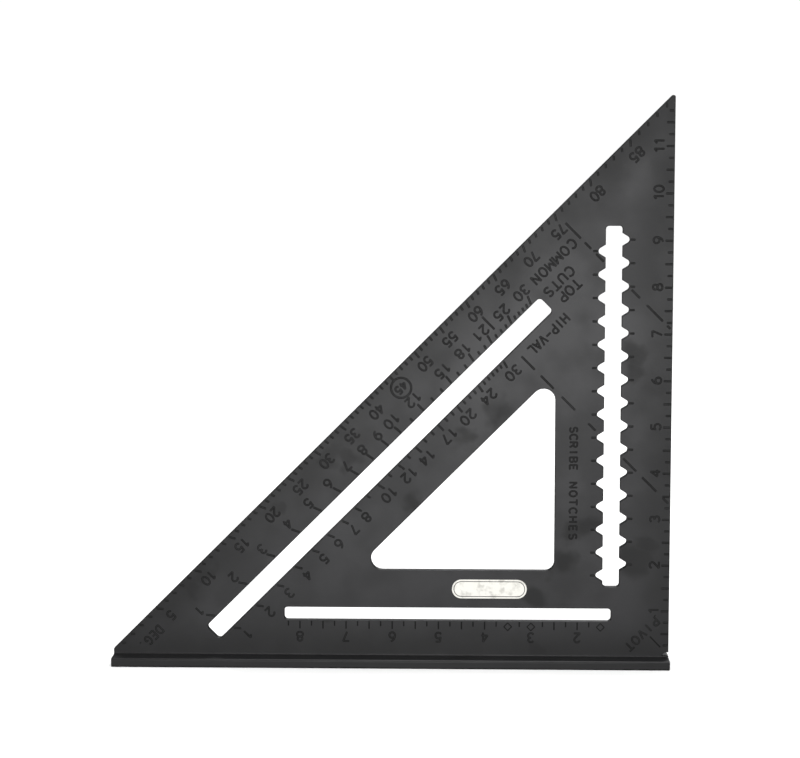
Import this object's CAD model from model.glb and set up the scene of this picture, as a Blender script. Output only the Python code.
"""Looks for a 12-inch speed square: a black anodised blade with engraved scales on a T fence.

Shapes are drawn in blade coordinates, in millimetres: the origin is the pivot corner, where
the ruler edge meets the fence's shoulder, x runs along the fence, negative towards the tip,
and z runs up the ruler edge. The frame gives that corner's place in the row frame.
"""

import math

import bmesh
import bpy
from mathutils import Matrix, Vector
from mathutils.geometry import delaunay_2d_cdt


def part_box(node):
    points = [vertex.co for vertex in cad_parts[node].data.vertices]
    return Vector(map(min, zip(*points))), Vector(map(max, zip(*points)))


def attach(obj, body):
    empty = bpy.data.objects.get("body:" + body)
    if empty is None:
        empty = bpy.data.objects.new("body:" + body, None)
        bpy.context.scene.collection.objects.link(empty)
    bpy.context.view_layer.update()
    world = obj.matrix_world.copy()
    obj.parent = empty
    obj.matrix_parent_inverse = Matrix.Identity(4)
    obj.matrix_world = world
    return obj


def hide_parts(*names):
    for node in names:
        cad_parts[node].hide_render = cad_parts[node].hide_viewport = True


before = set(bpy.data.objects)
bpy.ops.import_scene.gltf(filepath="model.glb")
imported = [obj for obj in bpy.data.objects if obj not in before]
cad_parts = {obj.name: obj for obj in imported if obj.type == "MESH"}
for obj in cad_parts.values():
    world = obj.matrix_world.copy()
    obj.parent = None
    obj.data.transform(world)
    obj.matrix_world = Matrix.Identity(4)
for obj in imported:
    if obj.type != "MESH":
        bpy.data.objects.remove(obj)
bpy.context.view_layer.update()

MM = 0.001
INCH = 25.4

BLADE_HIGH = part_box("blade")[1]
FENCE_LOW, FENCE_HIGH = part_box("fence")
MARK_LOW, MARK_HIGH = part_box("maker_mark")
CORNER = Vector((FENCE_HIGH.x, 0, FENCE_HIGH.z))

# Blade, in millimetres
LENGTH = (FENCE_HIGH.x - FENCE_LOW.x) / MM
HEIGHT = 308.2
HALF_THICK = BLADE_HIGH.y / MM
APEX_RADIUS = 1.1
TIP_RADIUS = 0.6
EDGE_ROUNDING = 0.3
FOOT = 0.1
PIVOT_NOTCH_RADIUS = 3.2
PIVOT_NOTCH_CENTRE = (-0.6, -0.7)

# Openings
DIAGONAL_NEAR, DIAGONAL_FAR = 27.2, 37.55
DIAGONAL_LOW_END, DIAGONAL_HIGH_END = -168.9, 88.9
DIAGONAL_RADIUS = 2.2
WINDOW_INSET, WINDOW_BOTTOM, WINDOW_RIGHT = 62.3, 47.55, -63.05
WINDOW_RADIUS, WINDOW_SQUARE_RADIUS = 6.4, 5.0
LEVEL_LEFT, LEVEL_RIGHT, LEVEL_BOTTOM, LEVEL_TOP, LEVEL_RADIUS = -211.2, -31.8, 19.4, 26.6, 2.0
SCRIBE_LEFT, SCRIBE_RIGHT, SCRIBE_BOTTOM, SCRIBE_TOP, SCRIBE_RADIUS = -36.55, -27.5, 38.75, 236.5, 1.8
NOTCHES = 15
NOTCH_DEPTH = 3.85
NOTCH_FLANK = math.radians(31.5)
NOTCH_TIP_RADIUS = 2.0
FIRST_RIGHT_NOTCH, FIRST_LEFT_NOTCH = 2 * INCH + 0.5, 1.75 * INCH + 0.65

# Fence
FENCE_HALF = FENCE_HIGH.y / MM
FENCE_THICK = (FENCE_HIGH.z - FENCE_LOW.z) / MM
FENCE_ROUNDING = 0.7
SHOULDER_ROUNDING = 1.3
FENCE_END_ROUNDING = 0.6
ROOT_FILLET = 0.5

# Maker's mark: how round its ends are, its thickness either side of the blade's face, its softened
# edge, and the keyline's two insets
MARK_ROUNDNESS = 0.98
MARK_PROUD, MARK_SUNK = 0.06, 0.02
MARK_EDGE_DROP, MARK_EDGE_INSET = 0.03, 0.05
KEYLINE_OUTER, KEYLINE_INNER = 0.9, 1.3

# Engraving: its depth, the widths of its lines, a groove's rim on each side of its pale floor, how
# far a line's end reaches as a share of its half width, and how clear of an edge a line stays
ENGRAVED_DEPTH = 0.22
STROKE = 1.08
GROOVE = 1.2
DASH = 1.2
HAIRLINE = 0.75
GROOVE_SIDE = 0.36
STROKE_END = 0.35
EDGE_MARGIN = 0.42

# Heights of glyphs, lengths of ticks, and places and sizes of what the scales share
DIGIT_HEIGHT = 5.1
LETTER_HEIGHT = 5.1
SMALL_LETTER_HEIGHT = 4.0
WIDE = 1.12
SHORT_TICK, LONG_TICK = 2.4, 3.7
SHORT_DEGREE, LONG_DEGREE = 2.0, 3.6
SHORT_RISE = 1.9
NOTCH_TICK = 2.2
SHORT_STUD, LONG_STUD = 2.6, 4.2
CIRCLED_DEGREE = 45
CIRCLED_HEIGHT = 4.2
CIRCLE_DEPTH, CIRCLE_RADIUS = 9.2, 5.5
LABEL_DEPTH = 4.5
DEGREE_LABEL_GAP = 4.7
RULER_LABEL_X = -8.4
RULER_LABEL_RISE = 0.3
STUD_LABEL_Z = 10.2
DIAMOND_Z, DIAMOND_REACH, DIAMOND_LINE = 16.2, 2.15, 0.6

# Steps in a rounding, the bend up to which shading is smooth, and the turn that splits a line
ARC_STEPS = 8
SMOOTH_ANGLE = math.radians(35)
SHARP_TURN = math.radians(60)


# ---------------------------------------------------------------- outlines

def fillet(before, corner, after, radius, steps=ARC_STEPS):
    """The corner's points once it is rounded to the radius."""
    corner = Vector(corner)
    if radius == 0:
        return [corner]
    to_before = (Vector(before) - corner).normalized()
    to_after = (Vector(after) - corner).normalized()
    half = to_before.angle(to_after) / 2
    centre = corner + (to_before + to_after).normalized() * (radius / math.sin(half))
    start = corner + to_before * (radius / math.tan(half)) - centre
    end = corner + to_after * (radius / math.tan(half)) - centre
    sweep = math.pi - 2 * half
    return [
        centre + (start * math.sin((1 - k / steps) * sweep) + end * math.sin(k / steps * sweep))
        / math.sin(sweep)
        for k in range(steps + 1)
    ]


def rounded(corners):
    """A closed outline from (x, z, radius) corners."""
    outline = []
    for index, (x, z, radius) in enumerate(corners):
        before = corners[index - 1][:2]
        after = corners[(index + 1) % len(corners)][:2]
        outline += fillet(before, (x, z), after, radius)
    return outline


def below_hypotenuse(distance, along):
    """The point this far in from the hypotenuse, and this far along it from its middle."""
    drop = distance * math.sqrt(2)
    middle = -(HEIGHT - drop) / 2
    step = along / math.sqrt(2)
    return middle + step, HEIGHT - drop + middle + step


def pivot_notch():
    """The notch's arc on the blade, from its foot up to the ruler edge."""
    x, z = PIVOT_NOTCH_CENTRE
    first = math.pi + math.asin((z - FOOT) / PIVOT_NOTCH_RADIUS)
    last = math.acos(-x / PIVOT_NOTCH_RADIUS)
    steps = 2 * ARC_STEPS
    return [
        Vector((x + PIVOT_NOTCH_RADIUS * math.cos(turn), z + PIVOT_NOTCH_RADIUS * math.sin(turn)))
        for turn in (first + (last - first) * k / steps for k in range(steps + 1))
    ]


def blade_outline():
    tip = rounded([
        (-LENGTH, FOOT, 0),
        (0, FOOT, 0),
        (0, HEIGHT, APEX_RADIUS),
        (-LENGTH, HEIGHT - LENGTH, TIP_RADIUS),
    ])
    return tip[:1] + pivot_notch() + tip[2:]


def diagonal_outline():
    ends = (DIAGONAL_LOW_END, DIAGONAL_HIGH_END)
    far = [below_hypotenuse(DIAGONAL_FAR, end) for end in ends]
    near = [below_hypotenuse(DIAGONAL_NEAR, end) for end in reversed(ends)]
    return rounded([(x, z, DIAGONAL_RADIUS) for x, z in far + near])


def window_outline():
    long_side = HEIGHT - WINDOW_INSET * math.sqrt(2)
    return rounded([
        (WINDOW_BOTTOM - long_side, WINDOW_BOTTOM, WINDOW_RADIUS),
        (WINDOW_RIGHT, WINDOW_BOTTOM, WINDOW_SQUARE_RADIUS),
        (WINDOW_RIGHT, WINDOW_RIGHT + long_side, WINDOW_RADIUS),
    ])


def level_outline():
    return rounded([
        (LEVEL_LEFT, LEVEL_BOTTOM, LEVEL_RADIUS),
        (LEVEL_RIGHT, LEVEL_BOTTOM, LEVEL_RADIUS),
        (LEVEL_RIGHT, LEVEL_TOP, LEVEL_RADIUS),
        (LEVEL_LEFT, LEVEL_TOP, LEVEL_RADIUS),
    ])


def notch(side_x, outward, height, climb):
    """One V notch's points, from its lower edge to its upper one or the other way round."""
    lost_to_rounding = NOTCH_TIP_RADIUS / math.sin(NOTCH_FLANK) - NOTCH_TIP_RADIUS
    sharp_depth = NOTCH_DEPTH + lost_to_rounding
    half_width = sharp_depth * math.tan(NOTCH_FLANK)
    near = (side_x, height - climb * half_width)
    far = (side_x, height + climb * half_width)
    return [Vector(near)] + fillet(near, (side_x + outward * sharp_depth, height), far,
                                   NOTCH_TIP_RADIUS) + [Vector(far)]


def scribe_outline():
    middle_x = (SCRIBE_LEFT + SCRIBE_RIGHT) / 2
    middle_z = (SCRIBE_BOTTOM + SCRIBE_TOP) / 2
    low, high = (middle_x, SCRIBE_BOTTOM), (middle_x, SCRIBE_TOP)
    left, right = (SCRIBE_LEFT, middle_z), (SCRIBE_RIGHT, middle_z)
    outline = fillet(low, (SCRIBE_RIGHT, SCRIBE_BOTTOM), right, SCRIBE_RADIUS)
    for count in range(NOTCHES):
        outline += notch(SCRIBE_RIGHT, 1, FIRST_RIGHT_NOTCH + count * INCH / 2, 1)
    outline += fillet(right, (SCRIBE_RIGHT, SCRIBE_TOP), high, SCRIBE_RADIUS)
    outline += fillet(high, (SCRIBE_LEFT, SCRIBE_TOP), left, SCRIBE_RADIUS)
    for count in reversed(range(NOTCHES)):
        outline += notch(SCRIBE_LEFT, -1, FIRST_LEFT_NOTCH + count * INCH / 2, -1)
    outline += fillet(left, (SCRIBE_LEFT, SCRIBE_BOTTOM), low, SCRIBE_RADIUS)
    return outline


def moved_left(outline, distance):
    """The closed outline moved to its own left: into the shape, where it runs anticlockwise."""
    moved = []
    for index, point in enumerate(outline):
        before = (point - outline[index - 1]).normalized()
        after = (outline[(index + 1) % len(outline)] - point).normalized()
        normal_before = Vector((-before.y, before.x))
        normal_after = Vector((-after.y, after.x))
        mitre = (normal_before + normal_after) / (1 + normal_before.dot(normal_after))
        moved.append(point + mitre * distance)
    return moved


def without_repeats(outline):
    """The closed outline without points that all but repeat the one before."""
    return [p for k, p in enumerate(outline) if (p - outline[k - 1]).length > 0.01]


# ---------------------------------------------------------------- lettering

def curve(cx, cz, rx, rz, first, last, steps=10):
    """Points along an ellipse, from one angle to another in degrees."""
    turns = [math.radians(first + (last - first) * k / steps) for k in range(steps + 1)]
    return [(cx + rx * math.cos(turn), cz + rz * math.sin(turn)) for turn in turns]


def ring(cx, cz, rx, rz):
    """A whole ellipse, from its top and round to its top."""
    return curve(cx, cz, rx, rz, 90, 450, 16)


# Single-stroke glyphs, one unit tall: width, then strokes
GLYPHS = {
    "0": (0.60, [ring(0.30, 0.50, 0.30, 0.50)]),
    "1": (0.36, [[(0.02, 0.78), (0.26, 1.0), (0.26, 0.0)]]),
    "2": (0.60, [curve(0.30, 0.71, 0.28, 0.29, 165, -38) + [(0.01, 0.0), (0.60, 0.0)]]),
    "3": (0.60, [curve(0.29, 0.76, 0.26, 0.24, 150, -90), curve(0.29, 0.27, 0.29, 0.27, 75, -150)]),
    "4": (0.62, [[(0.46, 0.0), (0.46, 1.0), (0.0, 0.30), (0.62, 0.30)]]),
    "5": (0.60, [[(0.54, 1.0), (0.12, 1.0), (0.08, 0.50)], curve(0.29, 0.33, 0.30, 0.33, 135, -150)]),
    "6": (0.60, [ring(0.30, 0.31, 0.29, 0.31), curve(0.50, 0.32, 0.49, 0.68, 100, 180, 7)]),
    "7": (0.58, [[(0.0, 1.0), (0.58, 1.0), (0.20, 0.0)]]),
    "8": (0.60, [ring(0.30, 0.76, 0.24, 0.24), ring(0.30, 0.27, 0.30, 0.27)]),
    "9": (0.60, [ring(0.30, 0.69, 0.29, 0.31), curve(0.10, 0.68, 0.49, 0.68, -80, 0, 7)]),
    "A": (0.66, [[(0.0, 0.0), (0.33, 1.0), (0.66, 0.0)], [(0.12, 0.34), (0.54, 0.34)]]),
    "B": (0.58, [[(0.0, 0.52), (0.0, 1.0)] + curve(0.30, 0.76, 0.24, 0.24, 90, -90) + [(0.0, 0.52)],
                 [(0.0, 0.0), (0.0, 0.52)] + curve(0.30, 0.26, 0.28, 0.26, 90, -90) + [(0.0, 0.0)]]),
    "C": (0.68, [curve(0.37, 0.50, 0.37, 0.50, 45, 315, 12)]),
    "D": (0.60, [[(0.22, 0.0), (0.0, 0.0), (0.0, 1.0), (0.22, 1.0)]
                 + curve(0.22, 0.5, 0.38, 0.5, 90, -90)]),
    "E": (0.54, [[(0.54, 1.0), (0.0, 1.0), (0.0, 0.0), (0.54, 0.0)], [(0.0, 0.52), (0.46, 0.52)]]),
    "G": (0.66, [curve(0.33, 0.50, 0.33, 0.50, 50, 330, 12), [(0.63, 0.22), (0.63, 0.46), (0.36, 0.46)]]),
    "H": (0.60, [[(0.0, 0.0), (0.0, 1.0)], [(0.60, 0.0), (0.60, 1.0)], [(0.0, 0.5), (0.60, 0.5)]]),
    "I": (0.10, [[(0.05, 0.0), (0.05, 1.0)]]),
    "L": (0.50, [[(0.0, 1.0), (0.0, 0.0), (0.50, 0.0)]]),
    "M": (0.74, [[(0.0, 0.0), (0.0, 1.0), (0.37, 0.25), (0.74, 1.0), (0.74, 0.0)]]),
    "N": (0.60, [[(0.0, 0.0), (0.0, 1.0), (0.60, 0.0), (0.60, 1.0)]]),
    "O": (0.68, [ring(0.34, 0.50, 0.34, 0.50)]),
    "P": (0.56, [[(0.0, 0.0), (0.0, 1.0), (0.28, 1.0)] + curve(0.28, 0.74, 0.28, 0.26, 90, -90)
                 + [(0.0, 0.48)]]),
    "R": (0.60, [[(0.0, 0.0), (0.0, 1.0), (0.28, 1.0)] + curve(0.28, 0.75, 0.28, 0.25, 90, -90)
                 + [(0.0, 0.50)], [(0.30, 0.50), (0.60, 0.0)]]),
    "S": (0.58, [curve(0.29, 0.75, 0.27, 0.25, 30, 270, 9)
                 + curve(0.29, 0.25, 0.29, 0.25, 90, -150, 9)]),
    "T": (0.68, [[(0.0, 1.0), (0.68, 1.0)], [(0.34, 1.0), (0.34, 0.0)]]),
    "U": (0.60, [[(0.0, 1.0)] + curve(0.30, 0.30, 0.30, 0.30, 180, 360) + [(0.60, 1.0)]]),
    "V": (0.62, [[(0.0, 1.0), (0.31, 0.0), (0.62, 1.0)]]),
    "-": (0.62, [[(0.02, 0.5), (0.60, 0.5)]]),
    ".": (0.12, [[(0.06, 0.0), (0.06, 0.08)]]),
}


def smooth_parts(points):
    """The line without repeated points, cut in two at each of its sharp corners."""
    line = [Vector(points[0])]
    for point in points[1:]:
        if (Vector(point) - line[-1]).length > 0.01:
            line.append(Vector(point))
    parts = [[line[0]]]
    for before, point, after in zip(line, line[1:], line[2:]):
        parts[-1].append(point)
        if (point - before).angle(after - point) > SHARP_TURN:
            parts.append([point])
    parts[-1].append(line[-1])
    return parts


def smooth_stroke(line, width):
    """The outlines, one for each straight run, of a smooth line drawn with blunt ends."""
    closed = (line[0] - line[-1]).length < 0.01
    if closed:
        line = line[:-1]
    count = len(line)
    half = width / 2
    sides = []
    for index, point in enumerate(line):
        runs = []
        if closed or index > 0:
            runs.append(point - line[index - 1])
        if closed or index < count - 1:
            runs.append(line[(index + 1) % count] - point)
        normals = [Vector((-run.y, run.x)).normalized() for run in runs]
        sides.append((normals[0] + normals[-1]) / (1 + normals[0].dot(normals[-1])) * half)
    outlines = []
    for a in range(count if closed else count - 1):
        b = (a + 1) % count
        beyond = (line[b] - line[a]).normalized() * half * STROKE_END
        outline = [line[a] - sides[a], line[b] - sides[b]]
        if not closed and b == count - 1:
            outline += [line[b] - sides[b] / 2 + beyond, line[b] + sides[b] / 2 + beyond]
        outline += [line[b] + sides[b], line[a] + sides[a]]
        if not closed and a == 0:
            outline += [line[a] + sides[a] / 2 - beyond, line[a] - sides[a] / 2 - beyond]
        outlines.append(without_repeats(outline))
    return outlines


def pen_stroke(points, width):
    """The outlines of a line of this width through the points, sharp corners included."""
    return [run for part in smooth_parts(points) for run in smooth_stroke(part, width)]


# Where the rays of the scales start, and the ways in from the hypotenuse and up along it
RAY_ORIGIN = Vector((0.6, 0.6))
INWARD = Vector((1, -1)) / math.sqrt(2)
UPWARD = Vector((1, 1)) / math.sqrt(2)


def on_ray(angle, below):
    """Where the ray from the pivot at this angle lies this far below the hypotenuse."""
    reach = (HEIGHT - below * math.sqrt(2)) / (math.sin(angle) + math.cos(angle))
    return RAY_ORIGIN + Vector((-math.cos(angle), math.sin(angle))) * reach


def clear_start(angle):
    """How far from a 45-degree edge a groove along this ray starts, to stay clear of it."""
    slant = math.pi / 4 - angle
    return EDGE_MARGIN + GROOVE / 2 * (abs(math.sin(slant)) + STROKE_END * math.cos(slant))


# The labels of the rafter scales, and how far up the hypotenuse each is moved, in millimetres
COMMON_LABELS = {1: -0.9, 2: 0, 3: 0, 4: 0.5, 5: -0.6, 6: -0.6, 7: 0, 8: 0, 9: 0.3, 10: 1.3, 12: 0.2,
                 15: 1.1, 18: -0.9, 21: -1.4, 25: -0.9, 30: -0.9}
HIP_LABELS = {1: 0, 2: 0, 3: -0.7, 4: -0.9, 5: -0.7, 6: -0.9, 7: 0, 8: -0.5, 10: -0.5, 12: -0.3,
              14: 0.2, 17: 0.2, 20: 0.3, 24: 0.4, 30: 0.4}
DEGREE_SHIFTS = {75: -2.8}

# The level slot's scale: the diamonds' places in inches, and how far the scale is moved right
DIAMONDS = (1.5, 3.0, 3.5)
LEVEL_SCALE_SHIFT = 0.6

# Two dashed lines at 45 degrees: where each meets the ruler edge, and each dash's two ends, as
# distances left of that edge
DASHED_HIGH_Z, DASHED_LOW_Z = 179.6, 84.0
DASHES_HIGH = ((58.3, 50.2), (47.8, 44.6), (41.7, 37.7), (22.3, 18), (14, 5.5), (2.9, 1.4))
DASHES_LOW = ((103, 96.5), (81.5, 74.5), (71, 64.2), (59.5, 52.5), (45, 41.3), (25.8, 19), (15.5, 8),
              (4.2, 1.4))


class Engraving:
    """The marks of one face, in blade coordinates: dark cuts, and the paler floors of grooves.

    Reading is 1 for the front, and -1 for the back, where letters are turned to be read from there.
    """

    def __init__(self, reading):
        self.reading = reading
        self.dark = []
        self.pale = []

    def groove(self, points, width=GROOVE):
        """One cut along the points: its dark outline, and a narrower pale floor inside it."""
        self.dark += pen_stroke(points, width)
        self.pale += pen_stroke(points, width - 2 * GROOVE_SIDE)

    def tick(self, start, direction, length, width=GROOVE):
        """A straight groove of this length, from a point in a direction."""
        start = Vector(start)
        self.groove([start, start + Vector(direction).normalized() * length], width)

    def text(self, text, centre, angle, pitch, height=LETTER_HEIGHT, stretch=1.1, width=STROKE):
        """A line of evenly spaced glyphs, centred on a point and turned by degrees."""
        turn = Matrix.Rotation(math.radians(angle), 2)
        for place, character in enumerate(text):
            middle = (place - (len(text) - 1) / 2) * pitch
            glyph_width, strokes = GLYPHS[character]
            for stroke in strokes:
                across = [middle + (x - glyph_width / 2) * stretch * height for x, z in stroke]
                up = [(z - 0.5) * height for x, z in stroke]
                self.groove([
                    Vector(centre) + turn @ Vector((x * self.reading, z)) for x, z in zip(across, up)
                ], width)

    def ruler_scale(self):
        """Inches and their quarters, up the ruler edge."""
        start = -EDGE_MARGIN - GROOVE / 2 * STROKE_END
        for quarter in range(1, 48):
            length = LONG_TICK if quarter % 2 == 0 else SHORT_TICK
            self.tick((start, quarter * INCH / 4), (-1, 0), length)
        for inch in range(1, 12):
            place = (RULER_LABEL_X, inch * INCH + RULER_LABEL_RISE)
            self.text(str(inch), place, 90, 4.4, DIGIT_HEIGHT, WIDE)

    def degree_scale(self):
        """Degrees along the hypotenuse, with a ring round the middle one."""
        for degree in range(1, 90):
            angle = math.radians(degree)
            length = LONG_DEGREE if degree % 5 == 0 else SHORT_DEGREE
            self.tick(on_ray(angle, clear_start(angle)), (math.cos(angle), -math.sin(angle)), length)
        for degree in range(5, 90, 5):
            place = on_ray(math.radians(degree), LABEL_DEPTH) + INWARD * DEGREE_LABEL_GAP
            place += UPWARD * DEGREE_SHIFTS.get(degree, 0)
            height = CIRCLED_HEIGHT if degree == CIRCLED_DEGREE else DIGIT_HEIGHT
            self.text(str(degree), place, 225, 0.88 * height, height, 1.06)
        centre = on_ray(math.radians(CIRCLED_DEGREE), CIRCLE_DEPTH)
        self.groove(curve(centre.x, centre.y, CIRCLE_RADIUS, CIRCLE_RADIUS, 0, 360, 40))
        self.text("DEG.", (-284.8, 8.8), 225, 4.2, 4.8, 0.95)

    def rafter_scale(self, run, edge, side, labels, long_tick, label_gap):
        """Rise in inches over this run: ticks from a slot's edge, on the side away from the slot."""
        for rise in range(1, 31):
            angle = math.atan2(rise, run)
            along = (-math.cos(angle) * side, math.sin(angle) * side)
            length = long_tick if rise in labels else SHORT_RISE
            self.tick(on_ray(angle, edge - side * clear_start(angle)), along, length)
        for rise, shift in labels.items():
            place = on_ray(math.atan2(rise, run), edge - side * LABEL_DEPTH)
            place -= INWARD * side * label_gap
            place += UPWARD * shift
            self.text(str(rise), place, 225, 5.1, DIGIT_HEIGHT, WIDE)

    def notch_ticks(self):
        """A short tick out from the tip of each notch."""
        reach = NOTCH_DEPTH + EDGE_MARGIN + GROOVE / 2 * STROKE_END
        for count in range(NOTCHES):
            climb = count * INCH / 2
            self.tick((SCRIBE_RIGHT + reach, FIRST_RIGHT_NOTCH + climb), (1, 0), NOTCH_TICK)
            self.tick((SCRIBE_LEFT - reach, FIRST_LEFT_NOTCH + climb), (-1, 0), NOTCH_TICK)

    def stud_scale(self):
        """Inches below the level slot, with diamonds at a stud's thickness, twice that, and its width."""
        start = LEVEL_BOTTOM - EDGE_MARGIN - HAIRLINE / 2 * STROKE_END
        for quarter in range(7, 34):
            inches = quarter / 4
            if inches in DIAMONDS:
                continue
            length = LONG_STUD if quarter % 2 == 0 else SHORT_STUD
            place = (LEVEL_SCALE_SHIFT - inches * INCH, start)
            self.dark += pen_stroke([place, (place[0], place[1] - length)], HAIRLINE)
        for inch in range(2, 9):
            place = (LEVEL_SCALE_SHIFT - inch * INCH, STUD_LABEL_Z)
            self.text(str(inch), place, 180, 4.4, DIGIT_HEIGHT, 1.06)
        for inches in DIAMONDS:
            x, z, reach = LEVEL_SCALE_SHIFT - inches * INCH, DIAMOND_Z, DIAMOND_REACH
            corners = [(x + reach, z), (x, z + reach), (x - reach, z), (x, z - reach), (x + reach, z)]
            self.dark += pen_stroke(corners, DIAMOND_LINE)

    def legends(self):
        """The words by the scales, and the mark by the pivot corner."""
        self.text("COMMON", (-64.5, 217.2), 225, 5.43, stretch=1.06)
        self.text("CUTS", (-61.6, 206.3), 225, 5.25, stretch=WIDE)
        self.text("TOP", (-55.9, 201.6), 225, 5.1, stretch=WIDE)
        self.text("HIP-VAL", (-67.1, 177.6), 225, 4.12, stretch=0.95)
        self.text("PIVOT", (-14.6, 12.6), 225, 4.9, 4.6)
        self.text(".", (-5.9, 21.3), 225, 1.0)
        self.dark += pen_stroke([(-10.2, 11.2), (-4.6, 5.4)], HAIRLINE)
        self.text("SCRIBE", (-53.0, 115.3), -90, 4.12, SMALL_LETTER_HEIGHT, WIDE, 1.0)
        self.text("NOTCHES", (-53.0, 80.9), -90, 4.75, SMALL_LETTER_HEIGHT, WIDE, 1.0)

    def dashed_lines(self):
        for level, dashes in ((DASHED_HIGH_Z, DASHES_HIGH), (DASHED_LOW_Z, DASHES_LOW)):
            for start, end in dashes:
                self.groove([(-start, level + start), (-end, level + end)], DASH)

    def outlines(self):
        """The outlines of the dark cuts, then those of the pale floors."""
        self.ruler_scale()
        self.degree_scale()
        self.rafter_scale(12, DIAGONAL_NEAR, 1, COMMON_LABELS, 4.6, 4.2)
        self.rafter_scale(17, DIAGONAL_FAR, -1, HIP_LABELS, 3.8, 4.3)
        self.notch_ticks()
        self.stud_scale()
        self.legends()
        self.dashed_lines()
        return self.dark, self.pale


# ---------------------------------------------------------------- meshes

FACE, CUT, FLOOR = 0, 1, 2


def flat_face(outline, holes, dark, pale):
    """Triangles of the outline less its holes, each marked as face, cut or the floor of a groove."""
    points, faces = [], []
    for shape in [outline] + holes + dark + pale:
        faces.append(list(range(len(points), len(points) + len(shape))))
        points += [Vector(p) for p in shape]
    found = delaunay_2d_cdt(points, [], faces, 1, 1e-3)
    flat_points, triangles, sources = found[0], found[2], found[5]
    first_dark = 1 + len(holes)
    first_pale = first_dark + len(dark)
    kept = []
    for triangle, source in zip(triangles, sources):
        if 0 in source and not any(0 < shape < first_dark for shape in source):
            last = max(source)
            kept.append((triangle, FLOOR if last >= first_pale else CUT if last >= first_dark else FACE))
    return flat_points, kept


def add_face_side(body, flat_points, triangles, y, depth):
    """One face of the blade: the surface at y, the engraved floors at y + depth, and their walls."""
    made = {}

    def vert(index, engraved):
        key = (index, engraved)
        if key not in made:
            x, z = flat_points[index]
            made[key] = body.verts.new((x, y + (depth if engraved else 0), z))
        return made[key]

    edges = {}
    for triangle, kind in triangles:
        engraved = kind != FACE
        face = body.faces.new([vert(index, engraved) for index in triangle])
        face.material_index = kind
        for a, b in zip(triangle, triangle[1:] + triangle[:1]):
            edges.setdefault((min(a, b), max(a, b)), set()).add(engraved)
    for (a, b), levels in edges.items():
        if len(levels) == 2:
            wall = body.faces.new([vert(a, False), vert(b, False), vert(b, True), vert(a, True)])
            wall.material_index = CUT


def add_edge_wall(body, outline, inward):
    """The side wall along an outline, rounded where it meets both faces."""
    rings = []
    steps = 4
    for face_y, toward in ((-HALF_THICK, 1), (HALF_THICK, -1)):
        profile = []
        for k in range(steps + 1):
            turn = math.pi / 2 * k / steps
            inset = EDGE_ROUNDING * (1 - math.sin(turn)) * inward
            y = face_y + toward * EDGE_ROUNDING * (1 - math.cos(turn))
            profile.append([body.verts.new((p.x, y, p.y)) for p in moved_left(outline, inset)])
        rings += profile if toward == 1 else profile[::-1]
    count = len(outline)
    for low, high in zip(rings, rings[1:]):
        for k in range(count):
            body.faces.new([low[k], low[(k + 1) % count], high[(k + 1) % count], high[k]])


def is_flat(normal, walls_too):
    """Whether a face with this normal counts as flat: square to an axis, or else a blade's wall."""
    return max(map(abs, normal)) > 0.9999 or (walls_too and abs(normal.y) < 1e-4)


def finished(name, body, materials, walls_too=False):
    """The mesh in its place in the row frame, in metres, with every face turned outwards.

    Roundings are smooth, and flat faces keep an even shade up to the edges they share with them.
    """
    bmesh.ops.remove_doubles(body, verts=body.verts, dist=1e-3)
    bmesh.ops.recalc_face_normals(body, faces=body.faces)
    for face in body.faces:
        face.smooth = True
    for edge in body.edges:
        first, second = edge.link_faces
        same_kind = is_flat(first.normal, walls_too) == is_flat(second.normal, walls_too)
        edge.smooth = same_kind and edge.calc_face_angle() < SMOOTH_ANGLE
    body.transform(Matrix.Translation(CORNER) @ Matrix.Scale(MM, 4))
    mesh = bpy.data.meshes.new(name)
    body.to_mesh(mesh)
    body.free()
    for material in materials:
        mesh.materials.append(material)
    piece = bpy.data.objects.new(name, mesh)
    bpy.context.scene.collection.objects.link(piece)
    return piece


def make_blade(anodised, cut, floor):
    outline = without_repeats(blade_outline())
    holes = [without_repeats(o) for o in
             (diagonal_outline(), window_outline(), level_outline(), scribe_outline())]
    face_outline = moved_left(outline, EDGE_ROUNDING)
    face_holes = [moved_left(hole, -EDGE_ROUNDING) for hole in holes]
    body = bmesh.new()
    for reading in (1, -1):
        face = flat_face(face_outline, face_holes, *Engraving(reading).outlines())
        add_face_side(body, *face, -HALF_THICK * reading, ENGRAVED_DEPTH * reading)
    add_edge_wall(body, outline, 1)
    for hole in holes:
        add_edge_wall(body, hole, -1)
    return finished("blade_plate", body, [anodised, cut, floor], walls_too=True)


def fence_profile():
    """Rounded edges on a flat bar, and a root that sweeps up into the blade's foot."""
    root = HALF_THICK + ROOT_FILLET
    corners = [
        (-FENCE_HALF, -FENCE_THICK, FENCE_ROUNDING),
        (FENCE_HALF, -FENCE_THICK, FENCE_ROUNDING),
        (FENCE_HALF, 0, SHOULDER_ROUNDING),
    ]
    outline = rounded(corners + [(root, 0, 0), (-root, 0, 0), (-FENCE_HALF, 0, SHOULDER_ROUNDING)])
    right_root = outline.index(Vector((root, 0)))
    sweep = [
        Vector((root - ROOT_FILLET * math.sin(turn), ROOT_FILLET * (1 - math.cos(turn))))
        for turn in (math.pi / 2 * k / ARC_STEPS for k in range(ARC_STEPS + 1))
    ]
    mirrored = [Vector((-p.x, p.y)) for p in sweep[::-1]]
    return outline[:right_root] + sweep + mirrored + outline[right_root + 2:]


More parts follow.
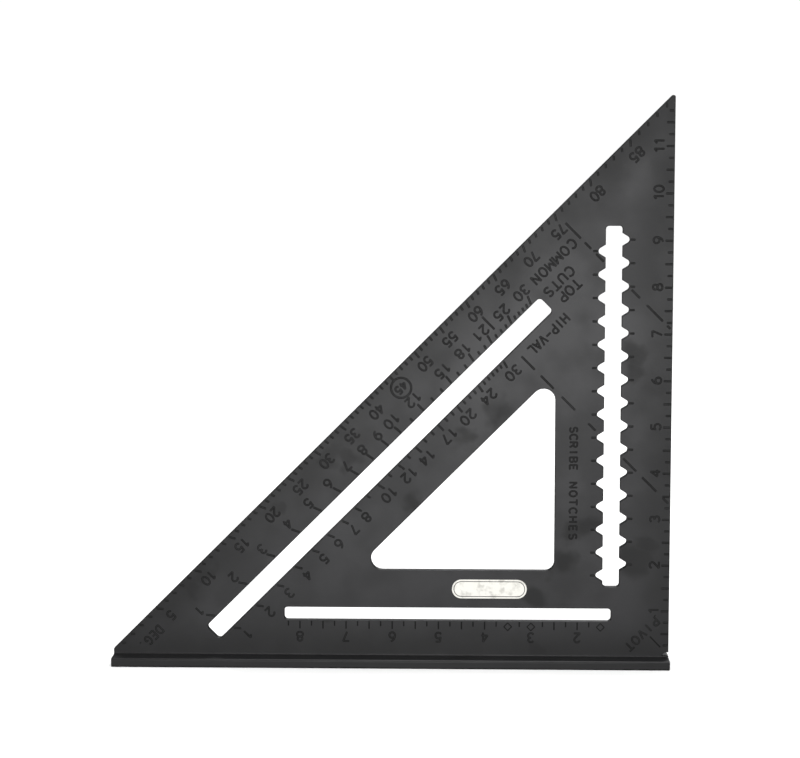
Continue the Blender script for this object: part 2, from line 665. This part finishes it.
def make_fence(anodised):
    profile = without_repeats(fence_profile())
    steps = 5
    stations = []
    for k in range(steps + 1):
        turn = math.pi / 2 * k / steps
        stations.append((FENCE_END_ROUNDING * (1 - math.cos(turn)),
                         FENCE_END_ROUNDING * (1 - math.sin(turn))))
    body = bmesh.new()
    rings = []
    for x_of, ends in ((lambda d: -LENGTH + d, stations), (lambda d: -d, stations[::-1])):
        for depth, inset in ends:
            shape = moved_left(profile, inset)
            rings.append([body.verts.new((x_of(depth), p.x, p.y)) for p in shape])
    count = len(profile)
    for low, high in zip(rings, rings[1:]):
        for k in range(count):
            body.faces.new([low[k], low[(k + 1) % count], high[(k + 1) % count], high[k]])
    body.faces.new(rings[0])
    body.faces.new(rings[-1])
    return finished("fence_bar", body, [anodised])


def make_mark(ink, line):
    """A plain capsule of ink with a thin keyline round it."""
    low = (MARK_LOW - CORNER) / MM
    high = (MARK_HIGH - CORNER) / MM
    radius = (high.z - low.z) / 2 * MARK_ROUNDNESS
    outline = rounded([(low.x, low.z, radius), (high.x, low.z, radius), (high.x, high.z, radius),
                       (low.x, high.z, radius)])
    outline = without_repeats(outline)
    body = bmesh.new()
    front = -HALF_THICK - MARK_PROUD
    bands = ((0.0, -HALF_THICK + MARK_SUNK), (0.0, front + MARK_EDGE_DROP), (MARK_EDGE_INSET, front),
             (KEYLINE_OUTER, front), (KEYLINE_INNER, front))
    keyline_band = len(bands) - 2
    rings = [[body.verts.new((p.x, y, p.y)) for p in moved_left(outline, inset)]
             for inset, y in bands]
    count = len(outline)
    for band, (low_ring, high_ring) in enumerate(zip(rings, rings[1:])):
        for k in range(count):
            face = body.faces.new([low_ring[k], low_ring[(k + 1) % count],
                                   high_ring[(k + 1) % count], high_ring[k]])
            face.material_index = 1 if band == keyline_band else 0
    body.faces.new(rings[-1])
    body.faces.new(rings[0])
    return finished("ink_capsule", body, [ink, line])


# ---------------------------------------------------------------- materials

# Where the anodising is smudged, in blade coordinates, and how far each smudge reaches
BLADE_SMUDGES = (
    (-18, 168, 9), (-19, 158, 8), (-44, 72, 9), (-52, 70, 7), (-61, 52, 8), (-74, 33, 9),
    (-94, 135, 9), (-110, 119, 7), (-143, 84, 7), (-185, 111, 9), (-177, 109, 7), (-254, 46, 9),
    (-262, 40, 8), (-20, 53, 12), (-12, 62, 8), (-185, 22, 6), (-217, 81, 7), (-73, 5, 8),
)
FENCE_SMUDGES = ((-110, -3, 14), (-60, -2, 10), (-190, -3, 9))

# How much rougher a smudge is, where it starts to fade and ends as shares of its reach, and the
# whole range in metres over which noise shifts its edge
SMUDGE_DULLING = 0.04
SMUDGE_CORE, SMUDGE_REACH = 0.45, 1.25
WOBBLE = Vector((0.022, 0.022, 0.022))

# The outer edges, each as its outward direction and a point on it, and how far in and how
# strongly they are dull
OUTER_EDGES = (
    (Vector((1, 0, 0)), Vector((0, 0, 0))),
    (Vector((0, 0, -1)), Vector((0, 0, 0))),
    (Vector((-1, 0, 1)).normalized(), Vector((0, 0, HEIGHT))),
)
MARGIN = 26.0
MARGIN_STRENGTH = 0.8


def new_material(name):
    material = bpy.data.materials.new(name)
    material.use_nodes = True
    tree = material.node_tree
    return material, tree, tree.nodes["Principled BSDF"]


def noise(tree, coordinates, scale, detail, roughness=0.5):
    node = tree.nodes.new("ShaderNodeTexNoise")
    node.inputs["Scale"].default_value = scale
    node.inputs["Detail"].default_value = detail
    node.inputs["Roughness"].default_value = roughness
    tree.links.new(coordinates, node.inputs["Vector"])
    return node.outputs["Fac"]


def ramp(tree, value, low, high, low_out, high_out):
    node = tree.nodes.new("ShaderNodeMapRange")
    node.interpolation_type = "SMOOTHSTEP"
    for name, number in (("From Min", low), ("From Max", high), ("To Min", low_out),
                         ("To Max", high_out)):
        node.inputs[name].default_value = number
    tree.links.new(value, node.inputs["Value"])
    return node.outputs["Result"]


def combine(tree, operation, first, second):
    node = tree.nodes.new("ShaderNodeMath")
    node.operation = operation
    for socket, value in zip(node.inputs, (first, second)):
        if isinstance(value, (int, float)):
            socket.default_value = value
        else:
            tree.links.new(value, socket)
    return node.outputs["Value"]


def blend_colours(tree, share, first, second):
    node = tree.nodes.new("ShaderNodeMix")
    node.data_type = "RGBA"
    tree.links.new(share, node.inputs["Factor"])
    node.inputs["A"].default_value = (*first, 1.0)
    node.inputs["B"].default_value = (*second, 1.0)
    return node.outputs["Result"]


def bump(tree, shader, height, strength, distance):
    node = tree.nodes.new("ShaderNodeBump")
    node.inputs["Strength"].default_value = strength
    node.inputs["Distance"].default_value = distance
    tree.links.new(height, node.inputs["Height"])
    tree.links.new(node.outputs["Normal"], shader.inputs["Normal"])


def smudge_mask(tree, place, smudges):
    """How strongly each point is inside a smudge, from 0 to 1. Their outlines are wobbly."""
    wobble = tree.nodes.new("ShaderNodeTexNoise")
    wobble.inputs["Scale"].default_value = 75.0
    wobble.inputs["Detail"].default_value = 2.0
    tree.links.new(place, wobble.inputs["Vector"])
    moved = tree.nodes.new("ShaderNodeVectorMath")
    moved.operation = "MULTIPLY_ADD"
    moved.inputs[1].default_value = WOBBLE
    tree.links.new(wobble.outputs["Color"], moved.inputs[0])
    tree.links.new(place, moved.inputs[2])
    mask = 0.0
    for x, z, radius in smudges:
        reach = tree.nodes.new("ShaderNodeVectorMath")
        reach.operation = "DISTANCE"
        tree.links.new(moved.outputs["Vector"], reach.inputs[0])
        reach.inputs[1].default_value = CORNER + Vector((x, 0, z)) * MM + WOBBLE / 2
        core, rim = radius * SMUDGE_CORE * MM, radius * SMUDGE_REACH * MM
        inside = ramp(tree, reach.outputs["Value"], core, rim, 1.0, 0.0)
        mask = combine(tree, "MAXIMUM", inside, mask)
    return mask


def margin_mask(tree, place):
    """How near each point is to the square's outer edges: most at an edge, and 0 well inside."""
    mask = 0.0
    for outward, edge_point in OUTER_EDGES:
        towards = tree.nodes.new("ShaderNodeVectorMath")
        towards.operation = "DOT_PRODUCT"
        tree.links.new(place, towards.inputs[0])
        towards.inputs[1].default_value = outward
        edge = outward.dot(CORNER + edge_point * MM)
        near = ramp(tree, towards.outputs["Value"], edge - MARGIN * MM, edge, 0.0,
                    MARGIN_STRENGTH)
        mask = combine(tree, "MAXIMUM", near, mask)
    return mask


def anodised_material(name, dark, light, roughness_low, roughness_high, smudges):
    """Satin black anodising: fine etched grain, cloudy patches, duller margins and smudges."""
    material, tree, shader = new_material(name)
    place = tree.nodes.new("ShaderNodeTexCoord").outputs["Object"]
    clouds = noise(tree, place, 14.0, 2.0, 0.5)
    patches = noise(tree, place, 55.0, 2.0, 0.5)
    grain = noise(tree, place, 2600.0, 2.0, 0.6)
    cloudiness = combine(tree, "ADD", combine(tree, "MULTIPLY", clouds, 0.55),
                         combine(tree, "MULTIPLY", patches, 0.45))
    share = ramp(tree, cloudiness, 0.40, 0.60, 0.6, 1.0)
    mask = combine(tree, "MAXIMUM", smudge_mask(tree, place, smudges), margin_mask(tree, place))
    cleared = combine(tree, "MULTIPLY", share, combine(tree, "SUBTRACT", 1.0, mask))
    grained = combine(tree, "ADD", combine(tree, "MULTIPLY", cleared, 0.8),
                      combine(tree, "MULTIPLY", grain, 0.3))
    tree.links.new(blend_colours(tree, grained, dark, light), shader.inputs["Base Color"])
    rough = ramp(tree, cloudiness, 0.38, 0.62, roughness_high, roughness_low)
    dulled = combine(tree, "ADD", rough, combine(tree, "MULTIPLY", mask, SMUDGE_DULLING))
    tree.links.new(dulled, shader.inputs["Roughness"])
    shader.inputs["Metallic"].default_value = 0.0
    shader.inputs["Specular IOR Level"].default_value = 0.55
    bump(tree, shader, grain, 0.12, 0.0001)
    return material


def engraved_material(name, dark, light, roughness_low, roughness_high, specular):
    """The cut surfaces of the marks: a finer, stronger grain than the face's, paler in places."""
    material, tree, shader = new_material(name)
    place = tree.nodes.new("ShaderNodeTexCoord").outputs["Object"]
    grain = noise(tree, place, 3500.0, 2.0)
    wear = noise(tree, place, 60.0, 3.0)
    share = ramp(tree, wear, 0.4, 0.7, 0.0, 1.0)
    tree.links.new(blend_colours(tree, share, dark, light), shader.inputs["Base Color"])
    tree.links.new(ramp(tree, grain, 0.3, 0.7, roughness_low, roughness_high),
                   shader.inputs["Roughness"])
    shader.inputs["Specular IOR Level"].default_value = specular
    bump(tree, shader, grain, 0.25, 0.0001)
    return material


def ink_material(name, thin, full, roughness):
    """Screen-printed ink, a little thin in places."""
    material, tree, shader = new_material(name)
    place = tree.nodes.new("ShaderNodeTexCoord").outputs["Object"]
    patches = noise(tree, place, 260.0, 4.0, 0.6)
    mesh_print = noise(tree, place, 3000.0, 1.0)
    share = ramp(tree, patches, 0.30, 0.55, 0.0, 1.0)
    tree.links.new(blend_colours(tree, share, thin, full), shader.inputs["Base Color"])
    tree.links.new(ramp(tree, mesh_print, 0.3, 0.7, roughness, roughness + 0.12),
                   shader.inputs["Roughness"])
    bump(tree, shader, mesh_print, 0.15, 0.00005)
    return material


def paper_material():
    material, tree, shader = new_material("pale_floor")
    place = tree.nodes.new("ShaderNodeTexCoord").outputs["Object"]
    fibre = noise(tree, place, 900.0, 3.0)
    share = ramp(tree, fibre, 0.3, 0.7, 0.0, 1.0)
    colour = blend_colours(tree, share, (0.93, 0.93, 0.93), (0.95, 0.95, 0.95))
    tree.links.new(colour, shader.inputs["Base Color"])
    shader.inputs["Roughness"].default_value = 0.9
    return material


# ---------------------------------------------------------------- stage

def make_stage(material):
    """One seamless sheet: a pale floor that curves up behind the square."""
    side, front, back, height, bend = 4.0, -4.0, 3.0, 4.0, 1.2
    profile = [(front, 0.0)]
    steps = 24
    for k in range(steps + 1):
        turn = math.pi / 2 * k / steps
        profile.append((back - bend + bend * math.sin(turn), bend * (1 - math.cos(turn))))
    profile.append((back, height))
    body = bmesh.new()
    rows = [[body.verts.new((x, y, z)) for x in (-side, side)] for y, z in profile]
    for low, high in zip(rows, rows[1:]):
        body.faces.new([low[0], low[1], high[1], high[0]])
    mesh = bpy.data.meshes.new("stage_floor")
    body.to_mesh(mesh)
    body.free()
    mesh.materials.append(material)
    mesh.shade_smooth()
    floor = bpy.data.objects.new("stage_floor", mesh)
    bpy.context.scene.collection.objects.link(floor)
    floor.visible_glossy = False


def soft_light(name, place, target, size, power, shape="DISK", height=1.0):
    data = bpy.data.lights.new(name, "AREA")
    data.shape = shape
    data.size = size
    data.size_y = height
    data.energy = power
    lamp = bpy.data.objects.new(name, data)
    lamp.location = place
    direction = Vector(target) - Vector(place)
    lamp.rotation_euler = direction.to_track_quat("-Z", "Y").to_euler()
    lamp.visible_camera = False
    bpy.context.scene.collection.objects.link(lamp)


def make_lights():
    """White surroundings, and soft boxes that make every reflection on the dark metal."""
    centre = (0.0, 0, 0.15)
    soft_light("overhead", (0.2, -0.5, 1.9), centre, 1.6, 18)
    soft_light("key", (-0.05, -1.5, 0.12), (-0.05, 0, 0.12), 0.9, 6.2, "RECTANGLE", 0.28)
    soft_light("rear", (0.3, 1.4, 1.3), centre, 0.9, 10)
    world = bpy.data.worlds.new("studio")
    bpy.context.scene.world = world
    world.use_nodes = True
    # The white surroundings light the metal but aren't reflected in it, which keeps it dark
    world.cycles_visibility.glossy = False
    background = world.node_tree.nodes["Background"]
    background.inputs["Color"].default_value = (1, 1, 1, 1)
    background.inputs["Strength"].default_value = 1.0


# The camera's place relative to the pivot corner, in metres, and its own axes
CAMERA_PLACE = (-0.11296, -1.33619, 0.30693)
CAMERA_RIGHT = (0.99966, 0.02604, 0.00076)
CAMERA_FORWARD = (-0.02578, 0.99308, -0.11455)
CAMERA_LENS = 111.16


def make_camera():
    data = bpy.data.cameras.new("camera")
    data.lens = CAMERA_LENS
    data.sensor_width = 36
    data.clip_end = 50
    camera = bpy.data.objects.new("camera", data)
    right = Vector(CAMERA_RIGHT).normalized()
    back = -Vector(CAMERA_FORWARD).normalized()
    up = back.cross(right).normalized()
    turn = Matrix((right, up, back)).transposed().to_4x4()
    camera.matrix_world = Matrix.Translation(CORNER + Vector(CAMERA_PLACE)) @ turn
    bpy.context.scene.collection.objects.link(camera)
    bpy.context.scene.camera = camera


def main():
    anodised = anodised_material("satin_black", (0.005, 0.005, 0.0055), (0.022, 0.0218, 0.0238),
                                 0.385, 0.435, BLADE_SMUDGES)
    bar = anodised_material("satin_black_bar", (0.006, 0.006, 0.0065), (0.022, 0.0218, 0.0238),
                            0.38, 0.43, FENCE_SMUDGES)
    cut = engraved_material("engraved_cut", (0.006, 0.006, 0.006), (0.010, 0.010, 0.010),
                            0.60, 0.80, 0.3)
    floor = engraved_material("engraved_floor", (0.008, 0.008, 0.008), (0.014, 0.014, 0.015),
                              0.48, 0.60, 0.5)
    blade = make_blade(anodised, cut, floor)
    fence = make_fence(bar)
    silver = ink_material("silver_ink", (0.50, 0.49, 0.45), (0.72, 0.71, 0.66), 0.42)
    keyline = ink_material("dark_keyline", (0.03, 0.03, 0.03), (0.05, 0.05, 0.05), 0.5)
    mark = make_mark(silver, keyline)
    for piece, node, slot in ((blade, "blade", "black_anodised"),
                              (fence, "fence", "black_anodised_fence"),
                              (mark, "maker_mark", "silver_print")):
        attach(piece, "root")
        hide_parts(node)
    make_stage(paper_material())
    make_lights()
    make_camera()
    bpy.context.scene.view_settings.view_transform = "Standard"


main()
